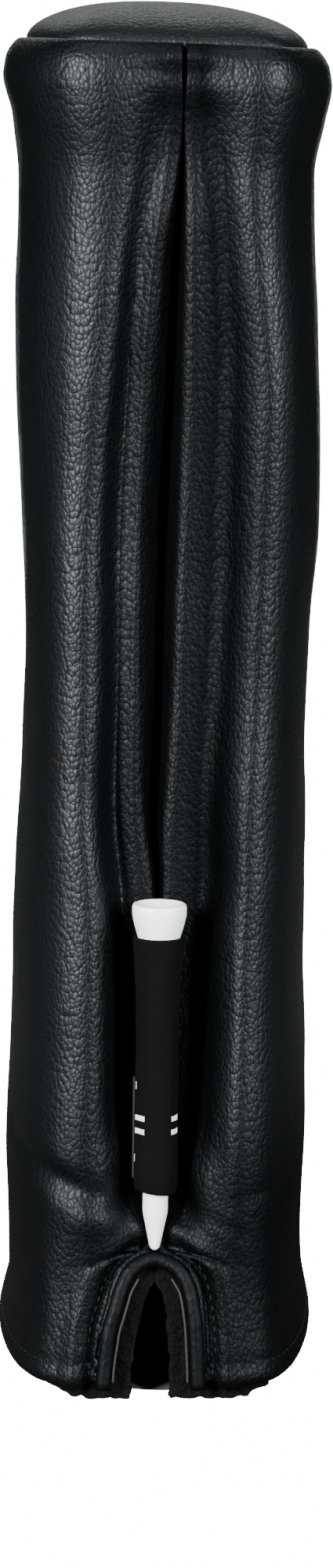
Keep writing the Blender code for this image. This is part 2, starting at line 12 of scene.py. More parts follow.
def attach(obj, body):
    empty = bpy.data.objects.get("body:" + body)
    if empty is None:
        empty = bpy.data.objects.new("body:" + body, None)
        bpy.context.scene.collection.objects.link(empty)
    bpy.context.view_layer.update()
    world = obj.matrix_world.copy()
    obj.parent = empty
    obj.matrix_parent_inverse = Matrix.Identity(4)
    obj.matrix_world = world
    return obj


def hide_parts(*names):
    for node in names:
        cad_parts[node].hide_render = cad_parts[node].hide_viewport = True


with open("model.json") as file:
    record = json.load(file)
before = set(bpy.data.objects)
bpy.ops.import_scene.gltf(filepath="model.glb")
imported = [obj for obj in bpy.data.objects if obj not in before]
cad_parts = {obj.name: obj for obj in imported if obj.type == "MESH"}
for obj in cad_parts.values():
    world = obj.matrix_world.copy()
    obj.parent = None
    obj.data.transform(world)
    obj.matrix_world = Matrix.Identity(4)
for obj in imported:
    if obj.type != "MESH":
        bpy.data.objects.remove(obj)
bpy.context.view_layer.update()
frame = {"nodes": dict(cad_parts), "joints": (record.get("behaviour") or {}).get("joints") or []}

MM = 0.001
COVER = "cover"
TEE = "tee"

# ---- the cover's layers, mm ----
LEATHER = 1.2
PADDING = 2.6
PLUSH = 5.0
SKIN_GAP = 0.3
LAYER_GAP = 0.8
SEAM_ALLOWANCE = 4.0
BACK_ALLOWANCE = 2.0
RIM_ALLOWANCE = 1.2
BODY_POWER = 2.3
BODY_TOP = 305.3
RIM_TILT = 0.038
CROWN_RISE = 9.8
CROWN_POWER = 0.55
CROWN_INSET = 5.8
HEM_DIP = 1.4
HEM_FADE = 40.0
HEM_LOW = 4.0
STITCH_HEIGHT = 9.0
STITCH_RADIUS = 0.3
HEM_STITCH_SINK = 0.15
NOTCH_STITCH_SINK = 0.2
NOTCH_STITCH_OUT = 2.6   # from the roll of the binding to its topstitch
BINDING_RADIUS = 1.85
NOTCH_PLUSH = 4.4
LINING_APEX = 30.0
VALLEY_CLEARANCE = 3.4

# ---- the tee and its sleeve, mm ----
TEE_LENGTH = 82.55
TEE_HEAD_RADIUS = 6.3
TEE_SHANK_RADIUS = 2.95
TEE_FOOT = Vector((-1.7, -54.97, 35.2))
TEE_AXIS = Vector(frame["joints"][0]["axis"]).normalized()
SLEEVE_LOW = 14.3
SLEEVE_HIGH = 74.8
TEE_STEPS = 64           # faces round the tee
SLEEVE_STEPS = 72        # faces round the sleeve

# ---- the outline by height: (height, value), mm ----
LEFT_SIDE = [(0, -40.2), (7, -39.8), (18, -37.6), (28, -37.4), (48, -38.0), (97, -36.2), (136, -34.4),
             (175, -32.7), (203, -33.6), (250, -34.6), (282, -33.8), (296, -35.5), (305, -37.3)]
RIGHT_SIDE = [(0, 36.2), (7, 35.9), (18, 34.4), (28, 34.2), (48, 34.8), (97, 34.4), (136, 34.3),
              (175, 35.5), (203, 37.4), (250, 36.9), (282, 35.6), (296, 38.4), (305, 40.0)]
DEPTH = [(0, 61.3), (6, 60.8), (28, 59.0), (48, 59.0), (85, 57.5), (118, 55.5), (150, 53.5),
         (172, 52.5), (205, 52.5), (250, 54.0), (284, 55.0), (305, 58.0)]
SEAM_X = [(33, -1.7), (80, -1.1), (118, -0.9), (135, -1.6), (165, -0.5), (200, 0.5), (235, 2.2),
          (270, 3.8), (290, 4.8), (313, 5.2)]
FOLD_GAP = {-1: [(35, 0.4), (50, 0.8), (105, 1.0), (126, 1.6), (144, 2.9), (181, 4.3), (217, 4.4),
                 (243, 3.9), (267, 2.8), (279, 1.6), (290, 0.6), (298, 0.25), (313, 0.25)],
            1: [(35, 0.4), (50, 0.8), (105, 1.0), (126, 1.4), (144, 2.1), (181, 2.7), (217, 2.6),
                (253, 1.95), (268, 1.4), (279, 0.9), (290, 0.45), (298, 0.25), (313, 0.25)]}
FOLD_DEPTH = [(35, 0.6), (50, 2.5), (105, 3.0), (118, 5.0), (135, 8.0), (150, 9.0), (235, 9.0),
              (270, 7.5), (288, 4.6), (297, 3.0), (305, 1.6), (313, 0.6)]
LIP_Y = [(35, -53.2), (41, -51.0), (50, -47.6), (80, -45.6), (105, -44.8), (116, -45.0), (140, -46.0),
         (204, -46.6), (214, -46.8), (235, -48.2), (253, -50.2), (270, -52.0), (288, -53.4),
         (297, -54.9), (305, -57.6)]
LIP_OUT = {-1: [(35, 2.4), (50, 3.2), (105, 3.6), (126, 4.3), (144, 5.1), (181, 5.8), (217, 6.1),
                (243, 6.2), (267, 5.2), (279, 4.0), (290, 2.8), (298, 2.1), (313, 2.1)],
           1: [(35, 2.2), (50, 2.8), (105, 3.1), (126, 3.6), (144, 4.2), (181, 4.6), (217, 4.7),
               (243, 4.4), (268, 3.6), (279, 3.0), (290, 2.3), (298, 2.0), (313, 2.0)]}
FLANK_FULLNESS = {-1: 0.8, 1: 0.66}
VALLEY_Y = {-1: [(35, -54.2), (50, -49.5), (80, -47.4), (105, -45.8), (118, -44.4), (130, -43.8),
                 (150, -44.2), (204, -44.6), (235, -46.0), (253, -47.8), (270, -49.8), (288, -52.0),
                 (297, -54.2), (305, -57.3)],
            1: [(35, -54.2), (50, -49.0), (80, -46.6), (105, -44.8), (118, -43.8), (130, -44.2),
                (150, -45.2), (204, -45.8), (235, -47.2), (253, -48.8), (270, -50.4), (288, -52.4),
                (297, -54.2), (305, -57.3)]}
VALLEY_OUT = {-1: [(35, 6.0), (50, 8.5), (105, 9.0), (126, 9.3), (144, 9.7), (163, 10.1),
                   (188, 10.3), (217, 10.4), (243, 9.9), (267, 8.8), (286, 6.7), (295, 5.0),
                   (305, 4.2)],
              1: [(35, 6.0), (50, 8.5), (105, 9.5), (126, 11.6), (163, 12.3), (199, 12.9), (243, 11.7),
                  (267, 9.0), (286, 7.2), (295, 5.4), (305, 4.2)]}
LOBE_OUT = {-1: [(0, 19.5), (50, 17.0), (105, 15.8), (144, 17.0), (178, 17.8), (214, 18.0),
                 (243, 17.2), (267, 15.8), (286, 15.4), (300, 17.2), (305, 18.0)],
            1: [(0, 21.0), (50, 18.8), (104, 19.6), (150, 22.0), (232, 22.5), (250, 20.6), (268, 18.0),
                (286, 16.2), (300, 17.2), (305, 18.0)]}
NOTCH_LEG = {-1: [(-1.7, 32.9), (-4.8, 32.2), (-7.6, 30.2), (-9.3, 27.0), (-10.9, 21.8), (-12.3, 17.0),
                  (-13.9, 3.2)],
             1: [(-1.7, 32.9), (1.4, 32.2), (4.3, 30.4), (6.3, 27.0), (7.4, 21.8), (7.9, 17.0),
                 (8.4, 3.2)]}
NOTCH_Y = [(0, -60.8), (4, -60.5), (18, -59.2), (27, -57.2), (31, -55.6), (35, -53.2)]
SHOULDER = [(305.3, 0, 0), (309.5, 0.8, 25), (312.4, 2.6, 60), (313.5, 4.2, 95), (312.6, 5.2, 135),
            (306.8, 5.5, 180)]
HEM_TURN = [(5.0, 2.9), (0.7, 2.8), (0.15, 2.2), (-0.15, 1.2), (0.25, 0.35)]   # (above the hem, inset)
VALLEY_FILL = 0.6        # how far the bottom of the valley is rounded up
VALLEY_FILL_WIDTH = 1.6
DENT_DEPTH = 2.4         # how far the front is drawn in beside the top of the slit
DENT_WIDTH = 11
FRONT_Y = -36            # what lies in front of this belongs to the fold and the lobes
FACE_Y = -40             # what lies in front of this is the face round slit and notch
RELIEF_TOP = 75          # the soft folds lie below this height
RELIEF_Y = -25
SIDE_STEPS = 5           # outline points on a quarter turn
SPAN_STEPS = 5           # columns between two neighbouring outline points
ROW_PITCH = 1.4          # mm of height between two rows
SIDE_WORD = {-1: "left", 1: "right"}


# ---- the shape of the cover ----

def at(stations, height):
    """Value of a station list at a height, along a smooth curve through the stations."""
    if height <= stations[0][0]:
        return stations[0][1]
    if height >= stations[-1][0]:
        return stations[-1][1]
    i = max(k for k, (h, _) in enumerate(stations) if h <= height)
    h0, v0 = stations[i]
    h1, v1 = stations[i + 1]
    t = (height - h0) / (h1 - h0)

    def slope(k):
        if k <= 0 or k >= len(stations) - 1:
            return 0.0
        before = (stations[k][1] - stations[k - 1][1]) / (stations[k][0] - stations[k - 1][0])
        after = (stations[k + 1][1] - stations[k][1]) / (stations[k + 1][0] - stations[k][0])
        return 0.0 if before * after <= 0 else 2 * before * after / (before + after)

    m0 = slope(i) * (h1 - h0)
    m1 = slope(i + 1) * (h1 - h0)
    return ((2 * t**3 - 3 * t**2 + 1) * v0 + (t**3 - 2 * t**2 + t) * m0
            + (3 * t**2 - 2 * t**3) * v1 + (t**3 - t**2) * m1)


def smooth(low, high, value):
    t = min(1.0, max(0.0, (value - low) / (high - low)))
    return t * t * (3 - 2 * t)


def bell(value, centre, width):
    return math.exp(-((value - centre) / width)**2)


def side_x(side, height):
    return at(LEFT_SIDE if side < 0 else RIGHT_SIDE, height)


def centre_x(height):
    return (side_x(-1, height) + side_x(1, height)) / 2


def lobe_x(side, height):
    return at(SEAM_X, height) + side * at(LOBE_OUT[side], height)


def leg_edge(side, distance):
    """The notch leg moved outward by a distance, as (height, x) stations rising from the hem."""
    leg = NOTCH_LEG[side]
    moved = [(leg[0][1] + distance, leg[0][0] + side * SKIN_GAP / 2)]
    for k in range(1, len(leg)):
        after = leg[min(k + 1, len(leg) - 1)]
        along = Vector(after) - Vector(leg[k - 1])
        outward = Vector((-along.y, along.x)).normalized() * side
        moved.append((leg[k][1] + outward.y * distance, leg[k][0] + outward.x * distance))
    return sorted(moved)


def round_points(side, height, inset):
    """The section from a front lobe round the side to the back seam, as (x, y)."""
    lobe = lobe_x(side, height)
    depth = at(DEPTH, height) - inset
    reach = abs(side_x(side, height) - lobe) - inset
    points = []
    for k in range(1, SIDE_STEPS + 1):
        angle = math.radians(90 * k / SIDE_STEPS)
        points.append((lobe + side * reach * math.sin(angle)**(2 / BODY_POWER),
                       -depth * abs(math.cos(angle))**(2 / BODY_POWER)))
    middle = centre_x(height)
    reach = abs(side_x(side, height) - middle) - inset
    for k in range(1, SIDE_STEPS + 1):
        angle = math.radians(90 * k / SIDE_STEPS)
        points.append((middle + side * max(SKIN_GAP / 2, reach * abs(math.cos(angle))**(2 / BODY_POWER)),
                       depth * math.sin(angle)**(2 / BODY_POWER)))
    return points


def fold_floor(height):
    return at(LIP_Y, height) + at(FOLD_DEPTH, height)


def fold_points(side, height, inset):
    """The section of a panel from the bottom of the fold out over the lip to the lobe, as (x, y)."""
    seam = at(SEAM_X, height)
    lip = at(LIP_Y, height) + inset
    floor = lip + at(FOLD_DEPTH, height) * (1 - smooth(4.0, 5.2, inset))
    slit = SKIN_GAP / 2 + 0.25 * smooth(300, 309, height)
    valley = at(VALLEY_Y[side], height) + inset
    front = -at(DEPTH, height) + inset
    gap = at(FOLD_GAP[side], height)
    ridge = at(LIP_OUT[side], height)
    valley_out = at(VALLEY_OUT[side], height)
    lobe_out = abs(lobe_x(side, height) - seam)
    profile = [(slit, floor),
               (slit + 0.5 * gap, floor + 0.55 * (lip - floor)),
               (slit + gap, floor + 0.88 * (lip - floor)),
               (ridge, lip),
               (0.5 * (ridge + valley_out), 0.5 * (lip + valley)),
               (valley_out, valley),
               (0.5 * (valley_out + lobe_out), valley + FLANK_FULLNESS[side] * (front - valley)),
               (lobe_out, front)]
    return [(seam + side * out, y) for out, y in profile]


def notch_points(side, height, inset):
    """The section of a panel beside the notch, from the notch edge to the lobe, as (x, y)."""
    edge = at(leg_edge(side, BINDING_RADIUS * 0.6), height)
    lobe = lobe_x(side, height)
    edge_y = at(NOTCH_Y, height) + inset
    front = -at(DEPTH, height) + inset
    return [(edge + (lobe - edge) * k / 7, edge_y + (front - edge_y) * math.sin(math.pi / 2 * k / 7))
            for k in range(8)]


def hem_drop(height, y):
    """How far a point near the mouth hangs below its level, so that the hem dips front and back."""
    share = (y / at(DEPTH, height))**2
    return HEM_DIP * (1 - share) * (1 - smooth(0, HEM_FADE, height))


def tilt(x, height):
    return -RIM_TILT * (x - centre_x(height)) * smooth(285, 305, height)


def panel_row(side, height, inset=0.0, turned=0.0):
    """Outline points of one row of a panel, from its front to its back seam allowance."""
    notch = height < NOTCH_LEG[side][0][1] + BINDING_RADIUS
    section = notch_points(side, height, inset) if notch else fold_points(side, height, inset)
    section += round_points(side, height, inset)
    row = [Vector((x, y, height)) for x, y in section]
    turn = math.radians(turned)
    behind = Vector((0, math.cos(turn), -math.sin(turn)))
    within = RIM_ALLOWANCE + (SEAM_ALLOWANCE - RIM_ALLOWANCE) * (1 - smooth(294, 304, height))
    within = 0.3 + (within - 0.3) * smooth(36, 46, height)
    row.insert(0, row[0] + behind * within)
    behind.y = -behind.y
    within = RIM_ALLOWANCE + (BACK_ALLOWANCE - RIM_ALLOWANCE) * (1 - smooth(294, 304, height))
    row.append(row[-1] + behind * within)
    for point in row:
        point.z += hem_drop(height, point.y) + tilt(point.x, height)
    return row


def curve_through(points, steps, closed=False):
    """Points along a smooth curve through given points, evenly many in each span."""
    count = len(points)
    route = []
    for k in range(count if closed else count - 1):
        p1, p2 = points[k], points[(k + 1) % count]
        p0 = points[(k - 1) % count] if closed or k else p1 * 2 - p2
        p3 = points[(k + 2) % count] if closed or k < count - 2 else p2 * 2 - p1
        d1, d2, d3 = (max(1e-4, (b - a).length**0.5) for a, b in ((p0, p1), (p1, p2), (p2, p3)))
        m1 = ((p1 - p0) / d1 - (p2 - p0) / (d1 + d2) + (p2 - p1) / d2) * d2
        m2 = ((p2 - p1) / d2 - (p3 - p1) / (d2 + d3) + (p3 - p2) / d3) * d2
        for j in range(steps):
            t = j / steps
            route.append((2 * t**3 - 3 * t**2 + 1) * p1 + (t**3 - 2 * t**2 + t) * m1
                         + (3 * t**2 - 2 * t**3) * p2 + (t**3 - t**2) * m2)
    if not closed:
        route.append(points[-1].copy())
    return route


# ---- making pieces ----

def finish_piece(name, bm, material, body=COVER):
    """Turns a bmesh in millimetres into a finished object in metres on its body."""
    bmesh.ops.scale(bm, vec=(MM, MM, MM), verts=bm.verts)
    mesh = bpy.data.meshes.new(name)
    bm.to_mesh(mesh)
    bm.free()
    mesh.shade_smooth()
    mesh.materials.append(material)
    piece = bpy.data.objects.new(name, mesh)
    bpy.context.scene.collection.objects.link(piece)
    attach(piece, body)
    return piece


def cloth_grid(rows, closed=False):
    """A sheet through rows of points, made from a grid; closed joins each row's end to its start."""
    bm = bmesh.new()
    width, height = len(rows[0]) + (1 if closed else 0), len(rows)
    bmesh.ops.create_grid(bm, x_segments=width - 1, y_segments=height - 1, size=1)
    uv = bm.loops.layers.uv.new("sheet")
    for vert in bm.verts:
        column = round((vert.co.x + 1) / 2 * (width - 1))
        row = round((vert.co.y + 1) / 2 * (height - 1))
        for loop in vert.link_loops:
            loop[uv].uv = (column / (width - 1), row / (height - 1))
        vert.co = rows[row][column % len(rows[0])]
    if closed:
        bmesh.ops.remove_doubles(bm, verts=bm.verts, dist=1e-5)
    return bm


def thicken(piece, thickness):
    shell = piece.modifiers.new("thickness", "SOLIDIFY")
    shell.thickness = thickness * MM
    shell.offset = -1
    shell.use_even_offset = False


def push_out(bm, amount):
    """Moves each point along its normal by what amount says for it, in mm."""
    bm.normal_update()
    moves = [(vert, vert.normal.copy() * amount(vert.co)) for vert in bm.verts]
    for vert, move in moves:
        vert.co += move


def row_heights():
    count = round((BODY_TOP - HEM_LOW) / ROW_PITCH)
    return [HEM_LOW + (BODY_TOP - HEM_LOW) * k / count for k in range(count + 1)]


def dented(row):
    """A row with its front drawn in beside the top of the slit, below the rim."""
    for p in row:
        if p.y < FACE_Y:
            out = p.x - at(SEAM_X, p.z)
            p.y += DENT_DEPTH * bell(out, 0, DENT_WIDTH) * smooth(270, 296, p.z) * (1 - smooth(306, 312, p.z))
    return row


def leather_rows(side):
    """All rows of a panel: turned up inside the hem, up the outside, over the top edge."""
    rows = [curve_through(panel_row(side, HEM_LOW + up, inset), SPAN_STEPS) for up, inset in HEM_TURN]
    rows += [dented(curve_through(panel_row(side, height), SPAN_STEPS)) for height in row_heights()[1:-1]]
    roll = curve_through([Vector(station) for station in SHOULDER], 5)
    rows += [dented(curve_through(panel_row(side, *station), SPAN_STEPS)) for station in roll]
    return rows


def notch_distance(x, height):
    """Distance of a point on the front from the middle of the notch binding."""
    spot = Vector((x, height))
    nearest = 99.0
    for leg in NOTCH_LEG.values():
        for a, b in zip(leg, leg[1:]):
            a, b = Vector(a), Vector(b)
            share = max(0.0, min(1.0, (spot - a).dot(b - a) / (b - a).length_squared))
            nearest = min(nearest, (spot - a.lerp(b, share)).length)
    return nearest


def valley_share(side, p):
    """How near a point is to the bottom of the valley beside the fold, from 0 to 1."""
    if p.y > FRONT_Y or p.z < 40:
        return 0.0
    out = side * (p.x - at(SEAM_X, p.z))
    near = bell(out, at(VALLEY_OUT[side], p.z), VALLEY_FILL_WIDTH)
    return near * smooth(40, 60, p.z) * (1 - smooth(288, 302, p.z))


def shade_and_dullness(side, p):
    """How much painted shade the leather gets, as the share of a black without shine mixed in, with a little
    more roughness: most beside the slit and in the notch groove, some near rim and hem.
    """
    out = side * (p.x - at(SEAM_X, p.z))
    share = out / at(VALLEY_OUT[side], p.z)
    front = p.y < FRONT_Y
    matte_and_shade = 0.25 * smooth(250, 285, p.z)
    matte_and_shade = max(matte_and_shade, (0.8 if side > 0 else 0.5) * (1 - smooth(45, 85, p.z)))
    if front:
        matte_and_shade = max(matte_and_shade, 0.85 * bell(out, 0, 14) * smooth(255, 292, p.z))
    if front and p.z > 40:
        beside = (0.6 + 0.4 * smooth(0.3, 0.9, share)) * (1 - smooth(1.3, 2.1, share))
        matte_and_shade = max(matte_and_shade, beside if side > 0 else 0.62 * (1 - smooth(0.85, 1.1, share)))
    if p.y < FACE_Y and p.z < 45:
        matte_and_shade = max(matte_and_shade, bell(notch_distance(p.x, p.z), 3.2, 1.3))
    return matte_and_shade


# soft folds of the front leather: (x, height, reach along, reach across, degrees turned, mm raised)
FOLDS = {-1: [(-12.5, 43.0, 8, 5.5, -10, 2.3), (-24, 52.5, 12, 3.0, -25, -1.9),
              (-10.8, 57, 9, 3.4, 80, 2.6), (-13, 36.5, 4.5, 0.8, 38, -0.5),
              (-15.5, 33.5, 5, 0.8, 24, -0.45), (-11, 40.0, 4, 0.7, 55, -0.4),
              (-26, 40, 9, 1.6, 62, -0.5), (-31, 36, 9, 1.4, 75, -0.4)],
         1: [(9.2, 52, 9, 3.6, 98, 2.8), (11.5, 37.5, 5, 0.8, -32, -0.45), (14.5, 42, 7, 1.0, -24, -0.4),
             (13.5, 33.5, 5, 0.8, -20, -0.4), (24, 50, 9, 1.6, 18, -0.4), (27, 36, 8, 1.4, -60, -0.4)]}


def fold_height(side, p):
    """How far the soft folds of the lower front raise a point, in mm."""
    if p.y > RELIEF_Y or p.z > RELIEF_TOP:
        return 0.0
    total = 0.0
    for x, height, along, across, degrees, raised in FOLDS[side]:
        turn = math.radians(degrees)
        dx, dz = p.x - x, p.z - height
        u = (dx * math.cos(turn) + dz * math.sin(turn)) / along
        v = (dz * math.cos(turn) - dx * math.sin(turn)) / across
        total += raised * math.exp(-u * u - v * v)
    return total


def leather_relief(side):
    """How far the leather stands out or lies in, apart from its main shape, in mm."""
    def relief(p):
        height = p.z - hem_drop(p.z, p.y)
        outward = math.atan2(p.y, p.x) * 40
        soft = 0.7 * noise.noise(p / 46) + 0.25 * noise.noise(p / 17 + Vector((7, 3, side)))
        soft *= smooth(4, 30, height) * (1 - smooth(296, 306, height))
        gather = 0.35 * noise.noise(Vector((outward / 5, height / 30, side * 5.0))) * bell(height, 27, 9)
        stitch = -0.45 * bell(height, STITCH_HEIGHT, 0.8) + 0.3 * bell(height, 6.2, 1.8)
        amount = soft + gather + stitch + fold_height(side, p) + VALLEY_FILL * valley_share(side, p)
        if p.y < FACE_Y and height < 45:
            away = notch_distance(p.x, p.z)
            amount += 1.5 * bell(away, 7.4, 2.6) - 1.0 * bell(away, 3.4, 1.2)
        return amount
    return relief


def body_leather(side, material):
    """Outer leather of one side."""
    rows = leather_rows(side)
    bm = cloth_grid(rows if side < 0 else [row[::-1] for row in rows])
    bmesh.ops.reverse_faces(bm, faces=bm.faces)
    # the attribute is mostly painted shade: the share of a black without shine mixed into the leather; it
    # also adds a little roughness
    dull_and_shade = bm.verts.layers.float.new("dull_and_shade")
    for vert in bm.verts:
        vert[dull_and_shade] = shade_and_dullness(side, vert.co)
    push_out(bm, leather_relief(side))
    piece = finish_piece(f"{SIDE_WORD[side]}_body_leather", bm, material)
    thicken(piece, LEATHER)
    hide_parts(f"{SIDE_WORD[side]}_body_panel")


# ---- the crown ----

def rim_outline(inset):
    """The closed outline of the round top, moved in by an inset, without the fold."""
    height = BODY_TOP
    ring = []
    for side in (-1, 1):
        seam = at(SEAM_X, height)
        half = [(seam, at(LIP_Y, height) + inset)] + fold_points(side, height, inset)[3:]
        half += round_points(side, height, inset)
        half[-1] = (centre_x(height), half[-1][1])
        ring += half[:-1] if side < 0 else half[:0:-1]
    return [Vector((x, y, 0)) for x, y in ring]


def dome_height(share):
    return BODY_TOP + 8.2 + CROWN_RISE * max(0.0, 1 - share * share)**CROWN_POWER


def crown_leather(material):
    """The domed top, its edge turned down into the groove inside the rim."""
    outline = curve_through(rim_outline(CROWN_INSET), 4, closed=True)
    middle = Vector((centre_x(BODY_TOP), 0, 0))
    steps = 40
    shares = [math.sin(math.pi / 2 * k / steps) for k in range(steps + 1)]
    rings = []
    for share in shares:
        ring = []
        for p in outline:
            spot = middle + (p - middle) * share
            ring.append(Vector((spot.x, spot.y, dome_height(share) + tilt(spot.x, BODY_TOP))))
        rings.append(ring)
    for level in (312.6, 310.5, 306.9):
        rings.append([Vector((p.x, p.y, level + tilt(p.x, BODY_TOP))) for p in rings[-1]])
    bm = cloth_grid(rings[::-1], closed=True)
    bmesh.ops.recalc_face_normals(bm, faces=bm.faces)
    if max(bm.faces, key=lambda face: face.calc_center_median().z).normal.z < 0:
        bmesh.ops.reverse_faces(bm, faces=bm.faces)
    push_out(bm, lambda p: 0.35 * noise.noise(p / 22) * smooth(306, 316, p.z))
    piece = finish_piece("crown_leather", bm, material)
    thicken(piece, LEATHER)
    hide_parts("crown_panel")


# ---- the notch ----

def binding_route():
    """Middle of the rolled binding, from the left end over the top to the right end."""
    middle = []
    for side in (-1, 1):
        leg = [Vector((x, at(NOTCH_Y, height) - 0.5, height)) for x, height in NOTCH_LEG[side]]
        middle += leg[::-1] if side < 0 else leg[1:]
    return middle


def roll_along(route, radius_at, turns):
    """Rings of a roll round a route, with a radius for each place and angle."""
    rings = []
    up = Vector((0, -1, 0))
    for k, centre in enumerate(route):
        ahead = (route[min(k + 1, len(route) - 1)] - route[max(k - 1, 0)]).normalized()
        side = ahead.cross(up).normalized()
        front = side.cross(ahead).normalized()
        ring = []
        for j in range(turns):
            angle = 2 * math.pi * j / turns
            ring.append(centre + (side * math.cos(angle) + front * math.sin(angle)) * radius_at(k, angle))
        rings.append(ring)
    return rings


def closed_roll(rings):
    """A roll with both ends closed, facing outward."""
    bm = cloth_grid(rings, closed=True)
    bmesh.ops.holes_fill(bm, edges=[edge for edge in bm.edges if edge.is_boundary], sides=0)
    bmesh.ops.recalc_face_normals(bm, faces=bm.faces)
    return bm


def notch_binding(material):
    route = curve_through(binding_route(), 8)

    def radius(k, angle):
        crease = 0.10 * noise.noise(Vector((k * 0.55, math.cos(angle) * 1.4, math.sin(angle) * 1.4)))
        return BINDING_RADIUS + crease

    bm = closed_roll(roll_along(route, radius, 20))
    piece = finish_piece("notch_binding_roll", bm, material)
    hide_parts("notch_binding")


def binding_edge(material):
    """The thin raw edge of the binding, a fine line inside the roll down both legs."""
    bm = bmesh.new()
    for side in (-1, 1):
        edge = leg_edge(side, -BINDING_RADIUS - 0.55)
        route = [Vector((at(edge, height), at(NOTCH_Y, height) - 1.3, height)) for height in range(5, 30, 3)]
        part = closed_roll(roll_along(curve_through(route, 5), lambda k, angle: 0.26, 8))
        mesh = bpy.data.meshes.new("edge_part")
        part.to_mesh(mesh)
        part.free()
        bm.from_mesh(mesh)
        bpy.data.meshes.remove(mesh)
    piece = finish_piece("notch_binding_edge", bm, material)


# ---- stitches ----

def stitch_row(name, route, pitch, length, radius, material, replaced):
    """A row of separate stitches laid along a route."""
    bm = bmesh.new()
    travelled, wanted = 0.0, pitch / 2
    for a, b in zip(route, route[1:]):
        span = (b - a).length
        while travelled + span >= wanted and span > 0:
            centre = a.lerp(b, (wanted - travelled) / span)
            turn = (b - a).to_track_quat("X", "Z").to_matrix().to_4x4()
            shape = Matrix.Diagonal((length / 2, radius, radius * 0.8, 1))
            bmesh.ops.create_uvsphere(bm, u_segments=8, v_segments=6, radius=1,
                                      matrix=Matrix.Translation(centre) @ turn @ shape)
            wanted += pitch
        travelled += span
    piece = finish_piece(name, bm, material)
    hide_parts(replaced)


def hem_route():
    """The hem stitch line, from the right of the notch round the back to the left of it."""
    route = []
    for side in (1, -1):
        line = curve_through(panel_row(side, STITCH_HEIGHT)[3:-1], 6)
        moved = []
        for k, p in enumerate(line):
            along = line[min(k + 1, len(line) - 1)] - line[max(k - 1, 0)]
            way = Vector((along.y, -along.x, 0)).normalized() * side
            moved.append(p - way * HEM_STITCH_SINK)
        route += moved if side > 0 else moved[::-1]
    return route


def front_surface(side, height, x, sink):
    """A point on a panel's front at a height and x, moved into the leather by a distance."""
    row = panel_row(side, height)[1:9]
    for a, b in zip(row, row[1:]):
        if min(a.x, b.x) <= x <= max(a.x, b.x) and a.x != b.x:
            return a.lerp(b, (x - a.x) / (b.x - a.x)) + Vector((0, sink, 0))
    return row[0] + Vector((0, sink, 0))


def notch_stitches(side, material):
    edge = leg_edge(side, BINDING_RADIUS + NOTCH_STITCH_OUT)
    route = [front_surface(side, height, at(edge, height), NOTCH_STITCH_SINK) for height in range(11, 35, 2)]
    word = SIDE_WORD[side]
    stitch_row(f"{word}_notch_stitches", curve_through(route, 4), 2.5, 1.7, STITCH_RADIUS, material,
               f"{word}_notch_topstitch")


# ---- the plush lining ----

def lining_inset(height):
    near = LEATHER + LAYER_GAP + 1.3
    far = LEATHER + PADDING + 2 * LAYER_GAP
    return near + (far - near) * smooth(34, 46, height)


def lining_front(side, height):
    """Front of a lining section, beside the notch and behind the fold."""
    seam = at(SEAM_X, height)
    lobe = lobe_x(side, height)
    front = -at(DEPTH, height) + lining_inset(height)
    mouth = at(NOTCH_Y, height) + BINDING_RADIUS + LAYER_GAP
    near = seam + side * SKIN_GAP / 2
    if height < LINING_APEX:
        edge = at(leg_edge(side, -BINDING_RADIUS - NOTCH_PLUSH), height)
        edge = min(edge, near) if side < 0 else max(edge, near)
        return [(edge + (lobe - edge) * k / 4, mouth + (front - mouth) * k / 4) for k in range(5)]
    share = smooth(31, 41, height)
    centre = mouth + (fold_floor(height) + SEAM_ALLOWANCE + 2.2 - mouth) * share
    valley = mouth + (at(VALLEY_Y[side], height) + LEATHER + VALLEY_CLEARANCE - mouth) * share
    outward = at(VALLEY_OUT[side], height)
    return [(near, centre),
            (seam + side * (at(LIP_OUT[side], height) + 0.8), centre - 0.6 * share),
            (seam + side * outward, valley),
            (0.5 * (seam + side * outward + lobe), 0.5 * (valley + front)),
            (lobe, front)]


def lining_section(side, height):
    """One closed section of a lining half: round its outside, then back round its inside."""
    front = lining_front(side, height)
    inset = lining_inset(height)
    outer = round_points(side, height, inset)
    inner = round_points(side, height, inset + PLUSH)
    dent = BACK_ALLOWANCE * (1 - smooth(34, 46, height))
    outer[-1] = (outer[-1][0], outer[-1][1] - dent)
    inner[-1] = (inner[-1][0], inner[-1][1] - dent)
    inner_front = [(x, y + PLUSH) for x, y in front]
    outline = front + outer + inner[::-1] + inner_front[::-1]
    return [Vector((x, y, height + tilt(x, height))) for x, y in outline]


def straight_through(points, steps):
    """Points along the straight runs between given points, and back to the first."""
    route = []
    for a, b in zip(points, points[1:] + points[:1]):
        route += [a.lerp(b, j / steps) for j in range(steps)]
    return route


def hem_lift(p):
    """How far the plush is tucked up at the sides, where the leather covers it."""
    return 4.6 * smooth(15, 33, abs(p.x)) * (1 - smooth(0, 14, p.z))


def pile_lumps(p):
    """Curly pile: clustered lumps, most where the plush is open to view."""
    lump = noise.noise(p / 2.6) + 0.55 * noise.noise(p / 1.2 + Vector((4, 4, 4)))
    return (0.95 * lump + 0.15) * (1 - 0.6 * smooth(40, 90, p.z))


